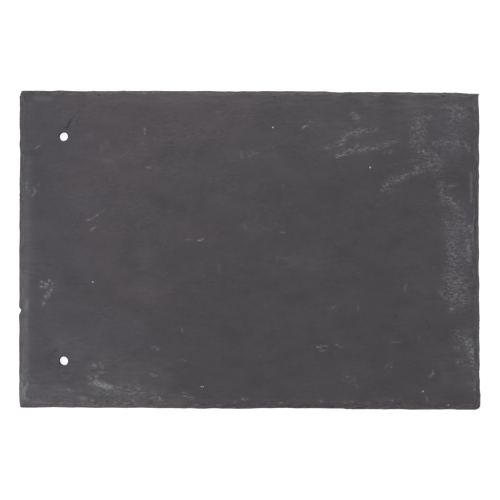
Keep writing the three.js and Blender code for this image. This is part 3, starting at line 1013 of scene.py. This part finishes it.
class Wire:
    """The output of a node, on which arithmetic adds Math nodes."""

    def __init__(self, bench: "Bench", socket: bpy.types.NodeSocket) -> None:
        """Wraps a socket of the bench's tree."""
        self.bench = bench
        self.socket = socket

    def math(self, operation: str, *operands: "Value", clamp: bool = False) -> "Wire":
        """Adds a Math node.

        Args:
            operation: The operation's name in Blender.
            *operands: All its operands, in order.
            clamp: Whether the result is held from 0 to 1.

        Returns:
            The node's result.
        """
        settings = {"operation": operation, "use_clamp": clamp}
        node = self.bench.node("ShaderNodeMath", settings, dict(enumerate(operands)))
        return Wire(self.bench, node.outputs[0])

    def __add__(self, other: "Value") -> "Wire":
        """Returns the sum."""
        return self.math("ADD", self, other)

    __radd__ = __add__

    def __sub__(self, other: "Value") -> "Wire":
        """Returns this less the other."""
        return self.math("SUBTRACT", self, other)

    def __rsub__(self, other: "Value") -> "Wire":
        """Returns the other less this."""
        return self.math("SUBTRACT", other, self)

    def __mul__(self, other: "Value") -> "Wire":
        """Returns the product."""
        return self.math("MULTIPLY", self, other)

    __rmul__ = __mul__

    def most(self, other: "Value") -> "Wire":
        """Returns the greater of this and the other."""
        return self.math("MAXIMUM", self, other)

    def clamped(self) -> "Wire":
        """Returns this held from 0 to 1."""
        return self.math("ADD", self, 0.0, clamp=True)

    def ramp(self, low: float, high: float) -> "Wire":
        """Adds a smooth step.

        Args:
            low: Where this is as low, the step is 0.
            high: Where this is as high, the step is 1.

        Returns:
            The step.
        """
        sockets = {"Value": self, "From Min": low, "From Max": high}
        settings = {"interpolation_type": "SMOOTHSTEP"}
        return Wire(self.bench, self.bench.node("ShaderNodeMapRange", settings, sockets).outputs[0])


Value = float | Wire


class Bench:
    """Adds the nodes of one material or world."""

    def __init__(self, tree: bpy.types.NodeTree) -> None:
        """Empties the tree."""
        self.tree = tree
        tree.nodes.clear()

    def node(
        self,
        kind: str,
        settings: Mapping[str, object] | None = None,
        sockets: Mapping[int | str, object] | None = None,
    ) -> bpy.types.Node:
        """Adds a node.

        Args:
            kind: The node's type.
            settings: Its own settings, which are set first.
            sockets: The values or links of its inputs, by name or number.

        Returns:
            The node.
        """
        node = self.tree.nodes.new(kind)
        for name, value in (settings or {}).items():
            setattr(node, name, value)
        for key, value in (sockets or {}).items():
            if isinstance(value, Wire):
                self.tree.links.new(value.socket, node.inputs[key])
            else:
                node.inputs[key].default_value = value
        return node

    def attribute(self, name: str) -> Wire:
        """Returns a value painted on the points."""
        node = self.node("ShaderNodeAttribute", {"attribute_name": name})
        return Wire(self, node.outputs["Fac"])

    def noise(
        self,
        along: float,
        across: float,
        through: float = 6.0,
        turn: float = 0.0,
        shift: float = 0.0,
        detail: float = 2.0,
        roughness: float = 0.5,
        warp: float = 0.0,
    ) -> Wire:
        """Adds a pattern in the stone.

        Args:
            along: Size of the pattern along X, in mm.
            across: Its size along Y.
            through: Its size along Z.
            turn: How far it is turned about Z, in degrees.
            shift: Moves the pattern, so that two of a size differ, in mm.
            detail: How many finer layers it has.
            roughness: How strong those are.
            warp: How far it is distorted.

        Returns:
            The pattern's value, from 0 to 1.
        """
        place = {
            "Vector": Wire(self, self.node("ShaderNodeTexCoord").outputs["Object"]),
            "Location": (shift * MM, shift * MM, 0),
            "Rotation": (0, 0, math.radians(turn)),
            "Scale": (along * MM, across * MM, through * MM),
        }
        grain = Wire(self, self.node("ShaderNodeMapping", {"vector_type": "TEXTURE"}, place).outputs[0])
        sockets = {"Vector": grain, "Scale": 1.0, "Detail": detail, "Roughness": roughness}
        sockets["Distortion"] = warp
        return Wire(self, self.node("ShaderNodeTexNoise", sockets=sockets).outputs["Fac"])

    def mixed(self, share: Value, first: Wire | Colour, second: Wire | Colour) -> Wire:
        """Mixes two colours.

        Args:
            share: How much of the second shows.
            first: The colour below.
            second: The colour over it.

        Returns:
            The mixed colour.
        """
        settings = {"data_type": "RGBA", "clamp_factor": True}
        colours = [c if isinstance(c, Wire) else (*c, 1.0) for c in (first, second)]
        node = self.node("ShaderNodeMix", settings, {0: share, 6: colours[0], 7: colours[1]})
        return Wire(self, node.outputs[2])

    def scaled(self, colour: Wire, share: Value) -> Wire:
        """Returns a colour made lighter or darker by a share."""
        node = self.node("ShaderNodeVectorMath", {"operation": "SCALE"}, {0: colour, "Scale": share})
        return Wire(self, node.outputs[0])


# ---------------------------------------------------------------- finishes


@dataclass(frozen=True)
class SlateStone:
    """Matt dark grey slate with a purple cast, scuffed pale, with its broken edges paler, painted shade in
    its hollows, cracks and holes, and painted highlights on the ridges of its edges.

    Attributes:
        base: Colour of the clean face.
        blue: Colour of its bluish zones.
        red: Colour of its reddish zones.
        scuffed: Colour of crushed stone in a scuff.
        dusty: Colour of dust in the grain.
        broken: The two colours of each dressed edge, which change places in patches.
        painted_shade: Colour of the painted shade in hollows, cracks, the walls of the nail holes and the
            gaps of scuffs.
        speck: Colour of a pale grain.
        specks: Places of the pale grains on the face, X, Y and radius in mm.
        specular: How strongly the stone mirrors, as the shader counts it.
        roughness: How matt it is at its smoothest, as the shader counts it.
        uneven: How much rougher it is in patches.
        crushed: How much rougher a scuff is.
        grain_height: Height of the grain, in mm.
    """

    base: Colour = (0.062, 0.0577, 0.0637)
    blue: Colour = (0.0644, 0.0604, 0.0700)
    red: Colour = (0.0700, 0.0600, 0.0680)
    scuffed: Colour = (0.215, 0.210, 0.222)
    dusty: Colour = (0.105, 0.102, 0.110)
    broken: Mapping[Edge, tuple[Colour, Colour]] = field(
        default_factory=lambda: {
            Edge.HEAD: ((0.087, 0.083, 0.085), (0.079, 0.075, 0.080)),
            Edge.TAIL: ((0.104, 0.099, 0.102), (0.088, 0.084, 0.090)),
            Edge.NEAR: ((0.090, 0.079, 0.094), (0.104, 0.090, 0.093)),
            Edge.FAR: ((0.096, 0.083, 0.084), (0.087, 0.078, 0.083)),
        }
    )
    painted_shade: Colour = (0.024, 0.022, 0.024)
    speck: Colour = (0.50, 0.50, 0.50)
    specks: Sequence[tuple[float, float, float]] = (
        (15.3, 84.2, 0.55),
        (82.2, 57.0, 0.6),
        (-107.8, -22.6, 0.5),
        (-32.9, -94.0, 0.42),
        (-31.7, -94.0, 0.38),
        (137.2, -106.1, 0.5),
        (119.3, -96.5, 0.5),
    )
    specular: float = 0.22
    roughness: float = 0.62
    uneven: float = 0.16
    crushed: float = 0.12
    grain_height: float = 0.15

    def material(self) -> bpy.types.Material:
        """Makes the finish.

        Returns:
            The material.
        """
        material = bpy.data.materials.new("riven_slate")
        material.use_nodes = True
        bench = Bench(material.node_tree)
        scuff, gaps = self._scuffs(bench)
        relief = self._fine_relief(bench, scuff)
        height = {"Strength": 1.0, "Distance": self.grain_height * MM, "Height": relief}
        bump = bench.node("ShaderNodeBump", sockets=height)
        patches = bench.noise(9, 5, shift=70, detail=3)
        shader = bench.node(
            "ShaderNodeBsdfPrincipled",
            sockets={
                "Base Color": self._colour(bench, scuff, gaps),
                "Roughness": self.roughness + self.uneven * patches + self.crushed * scuff,
                "Specular IOR Level": self.specular,
                "Normal": Wire(bench, bump.outputs[0]),
            },
        )
        bench.node("ShaderNodeOutputMaterial", sockets={"Surface": Wire(bench, shader.outputs[0])})
        return material

    def _scuffs(self, bench: Bench) -> tuple[Wire, Wire]:
        """Breaks the scuffs up into dashes and grit.

        Args:
            bench: The material's nodes.

        Returns:
            Where scuffs and scratches are crushed pale, and where shade is painted into the gaps and pits
            of the scuffs.
        """
        slid = bench.noise(3.6, 1.3, turn=13, roughness=0.65, warp=0.3)
        rubbed = bench.noise(2.8, 1.3, turn=-3, shift=20, roughness=0.65, warp=0.3)
        crystals = bench.noise(1.5, 1.1, shift=40, detail=0)
        grit = 0.45 * crystals.ramp(0.56, 0.72)
        # Painted shade in the pits and in the gaps between a scuff's dashes.
        pits = 0.3 * (1 - crystals).ramp(0.58, 0.7)
        pale: Value = bench.attribute(Mark.LINE.value) * (0.45 + 0.7 * crystals)
        gaps: Value = 0.0
        for mark, dashes in ((Mark.SLIDE, slid), (Mark.RUB, rubbed)):
            cover = bench.attribute(mark.value)
            crushed = 0.04 + 0.1 * cover + 0.45 * dashes.ramp(0.46, 0.62) + grit
            pale = pale + cover * crushed
            gaps = gaps + cover * (0.4 * (1 - dashes).ramp(0.52, 0.64) + pits)
        return pale.clamped(), gaps.clamped()

    def _colour(self, bench: Bench, scuff: Wire, gaps: Wire) -> Wire:
        """Colours the stone and its marks, and paints shade into its hollows, cracks, nail holes and
        scuffs.

        Args:
            bench: The material's nodes.
            scuff: Where the stone is crushed pale.
            gaps: Where shade is painted into the gaps and pits of a scuff.

        Returns:
            The colour.
        """
        ragged = bench.noise(16, 11, shift=15, detail=3)
        colour: Wire | Colour = self.base
        for mark, tint in ((Mark.BLUE, self.blue), (Mark.RED, self.red)):
            zone = (bench.attribute(mark.value) + ragged * 0.6 - 0.3).ramp(0.2, 0.8)
            colour = bench.mixed(zone, colour, tint)
        colour = bench.scaled(colour, self._tone(bench))
        dusted = bench.noise(10, 2.8, shift=25, detail=4, roughness=0.6)
        colour = bench.mixed(bench.attribute(Mark.DUST.value) * dusted.ramp(0.2, 0.85), colour, self.dusty)
        colour = self._broken_edges(bench, colour)
        colour = bench.mixed(scuff, colour, self.scuffed)
        # Painted shade: hollows of the broken stone, cracks and dark chips, the walls of the nail holes
        # and the gaps in scuffs are darkened where shade would fall.
        painted_shade = (0 - bench.attribute("ridge")).ramp(0.35, 1.6) * 0.5
        broken = bench.noise(2.2, 2.2, shift=83).ramp(0.3, 0.6)
        for dark in (bench.attribute(Mark.CRACK.value) * broken, bench.attribute("bored"), gaps):
            painted_shade = painted_shade.most(dark)
        colour = bench.mixed(painted_shade, colour, self.painted_shade)
        return bench.mixed(self._speckles(bench), colour, self.speck)

    def _broken_edges(self, bench: Bench, colour: Wire) -> Wire:
        """Lays the dressed edges over the face, in patches, leaves and chips, with a painted highlight on
        their ridges.

        Args:
            bench: The material's nodes.
            colour: The colour of the face.

        Returns:
            The colour of both.
        """
        patches = bench.noise(13, 13, 3, shift=64).ramp(0.4, 0.6)
        leaves = bench.noise(3, 3, 0.55, shift=55, detail=3, roughness=0.7, warp=0.5)
        chips = bench.noise(1.8, 1.8, 0.8, shift=77).ramp(0.62, 0.74)
        # Dust lightens the edges and the deep patches darken them; pale chips lighten them, and ridges get
        # a painted highlight.
        ridge = bench.attribute("ridge").ramp(0.4, 1.7)
        dust_and_painted_light = 1.0 + 0.45 * bench.attribute(Mark.DUST.value) - 0.28 * bench.attribute(Mark.DEEP.value)
        dust_and_painted_light = dust_and_painted_light * (1.0 + 0.65 * chips + 0.33 * ridge)
        for edge, (first, second) in self.broken.items():
            stone = bench.scaled(bench.mixed(patches, first, second), (0.3 + 1.4 * leaves) * dust_and_painted_light)
            colour = bench.mixed(bench.attribute(edge.value), colour, stone)
        return colour

    def _tone(self, bench: Bench) -> Wire:
        """Shades the stone, from broad clouds down to its grain.

        Args:
            bench: The material's nodes.

        Returns:
            How light the stone is, around 1.
        """
        clouds = bench.noise(70, 45, shift=5)
        mottle = bench.noise(20, 12, shift=33, detail=4, roughness=0.6)
        streaks = bench.noise(4.6, 1.5, turn=1, shift=12, detail=3, roughness=0.6)
        crystals = bench.noise(1.5, 0.9, 0.8, shift=8, roughness=0.7)
        busy = bench.noise(26, 18, shift=48, detail=1).ramp(0.4, 0.62)
        flecks = bench.noise(2.6, 0.9, shift=60, detail=1).ramp(0.62, 0.76)
        broad = clouds * 0.22 + mottle * 0.5 - 0.36
        # The deep patches darken the stone, partly as painted shade.
        deep = bench.attribute(Mark.DEEP.value)
        fine = (streaks * 0.33 + crystals * 0.3 - 0.315 + flecks * 0.25) * (0.6 + 0.8 * busy)
        return (1.0 + broad + fine * (1.15 - 0.5 * deep)) * (1.0 - 0.13 * deep)

    def _speckles(self, bench: Bench) -> Wire:
        """Sets the pale grains.

        Args:
            bench: The material's nodes.

        Returns:
            Where they show.
        """
        place = bench.node("ShaderNodeTexCoord").outputs["Object"]
        plan = {0: Wire(bench, place), 1: (1, 1, 0)}
        flat = bench.node("ShaderNodeVectorMath", {"operation": "MULTIPLY"}, plan).outputs[0]
        total: Value = 0.0
        for x, y, radius in self.specks:
            at = {0: Wire(bench, flat), 1: (x * MM, y * MM, 0)}
            away = bench.node("ShaderNodeVectorMath", {"operation": "DISTANCE"}, at).outputs["Value"]
            total = total + (1 - Wire(bench, away).ramp(0.5 * radius * MM, 1.2 * radius * MM))
        return total

    def _fine_relief(self, bench: Bench, scuff: Wire) -> Wire:
        """Raises the grain of the leaves, the crystals and the crushed scuffs.

        Args:
            bench: The material's nodes.
            scuff: Where the stone is crushed pale.

        Returns:
            The height, as a share of the grain's.
        """
        leaves = bench.noise(4.5, 1.5, 0.5, shift=3, detail=4, roughness=0.55)
        crystals = bench.noise(1.1, 0.7, 0.6, shift=9, detail=3, roughness=0.6)
        return leaves * 0.5 + crystals * 0.35 + scuff * 0.3


# ---------------------------------------------------------------- studio


@dataclass(frozen=True)
class Studio:
    """A pale floor, soft light from the head's far side, and a camera straight above.

    Attributes:
        camera_height: How far above the bed the camera is, in mm.
        view_width: How much of the floor the picture is wide, in mm.
        aim: X and Y of the middle of the picture, in mm.
        roll: How far the slate is turned in the picture, in radians.
        floor_size: Side of the floor, in mm.
        floor_colour: Colour of the floor, as the light that it throws back has it.
        floor_shade: The part of that colour which shows a shadow to the camera.
        floor_glow: What is added to that part, so that the floor shows white.
        lamp_place: Where the soft light hangs, in mm.
        lamp_size: Its side, in mm.
        lamp_power: Its power, in watts.
        sky: How bright the surround is.
    """

    camera_height: float = 722.0
    view_width: float = 345.55
    aim: tuple[float, float] = (0.02, -0.08)
    roll: float = 0.0051
    floor_size: float = 12000.0
    floor_colour: Colour = (0.8, 0.8, 0.8)
    floor_shade: Colour = (0.35, 0.35, 0.35)
    floor_glow: float = 0.84
    lamp_place: tuple[float, float, float] = (-560.0, 340.0, 1050.0)
    lamp_size: float = 1000.0
    lamp_power: float = 8.6
    sky: float = 0.6

    def build(self) -> None:
        """Makes the floor, the light and the camera."""
        self._floor()
        self._lamp()
        self._sky()
        self._camera()
        bpy.context.scene.view_settings.view_transform = "Standard"

    def _seen(self, bench: Bench) -> Wire:
        """Tells what the camera sees, itself or in a gloss or through a glass.

        Args:
            bench: The nodes of a material or the world.

        Returns:
            1 for what it sees, and 0 for what only lights the slate.
        """
        path = bench.node("ShaderNodeLightPath").outputs
        seen = Wire(bench, path["Is Camera Ray"])
        for name in ("Is Glossy Ray", "Is Transmission Ray"):
            seen = seen.most(Wire(bench, path[name]))
        return seen

    def _floor(self) -> None:
        """Makes the floor, which shows white and keeps a faint shadow."""
        bpy.ops.object.select_all(action="DESELECT")
        bpy.ops.mesh.primitive_plane_add(size=self.floor_size * MM, location=(0, 0, 0))
        floor = bpy.context.object
        floor.name = "floor"
        material = bpy.data.materials.new("pale_floor")
        material.use_nodes = True
        bench = Bench(material.node_tree)
        seen = self._seen(bench)
        shade = bench.mixed(seen, self.floor_colour, self.floor_shade)
        cloth = bench.node("ShaderNodeBsdfDiffuse", sockets={"Color": shade})
        glow = bench.node("ShaderNodeEmission", sockets={"Strength": self.floor_glow * seen})
        both = bench.node(
            "ShaderNodeAddShader",
            sockets={0: Wire(bench, cloth.outputs[0]), 1: Wire(bench, glow.outputs[0])},
        )
        bench.node("ShaderNodeOutputMaterial", sockets={"Surface": Wire(bench, both.outputs[0])})
        floor.data.materials.append(material)

    def _lamp(self) -> None:
        """Hangs the soft light over the head's far corner, turned to the slate."""
        bpy.ops.object.select_all(action="DESELECT")
        bpy.ops.object.light_add(type="AREA", location=[length * MM for length in self.lamp_place])
        lamp = bpy.context.object
        lamp.name = "soft_light"
        lamp.data.shape = "SQUARE"
        lamp.data.size = self.lamp_size * MM
        lamp.data.energy = self.lamp_power
        lamp.rotation_euler = (-lamp.location).to_track_quat("-Z", "Y").to_euler()

    def _sky(self) -> None:
        """Lights the slate evenly from all round, and shows white."""
        world = bpy.data.worlds.new("pale_surround")
        bpy.context.scene.world = world
        world.use_nodes = True
        bench = Bench(world.node_tree)
        strength = self.sky + (1.0 - self.sky) * self._seen(bench)
        sky = bench.node("ShaderNodeBackground", sockets={"Color": (1, 1, 1, 1), "Strength": strength})
        bench.node("ShaderNodeOutputWorld", sockets={"Surface": Wire(bench, sky.outputs[0])})

    def _camera(self) -> None:
        """Puts the camera over the slate, looking straight down."""
        place = (*self.aim, self.camera_height)
        bpy.ops.object.camera_add(
            location=[length * MM for length in place], rotation=(0, 0, self.roll)
        )
        camera = bpy.context.object
        camera.name = "camera"
        camera.data.lens = camera.data.sensor_width * self.camera_height / self.view_width
        bpy.context.scene.camera = camera


def main() -> None:
    """Builds the studio and the slate, and ties the slate to the frame."""
    logging.basicConfig(level=logging.INFO, format="%(name)s: %(message)s")
    Studio().build()
    slab = RivenSlab()
    slate = slab.build()
    slate.data.materials.clear()
    slate.data.materials.append(SlateStone().material())
    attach(slate, "root")
    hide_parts(slab.node)
    log.info("%s has %d triangles", slate.name, len(slate.data.polygons))


if __name__ == "__main__":
    main()
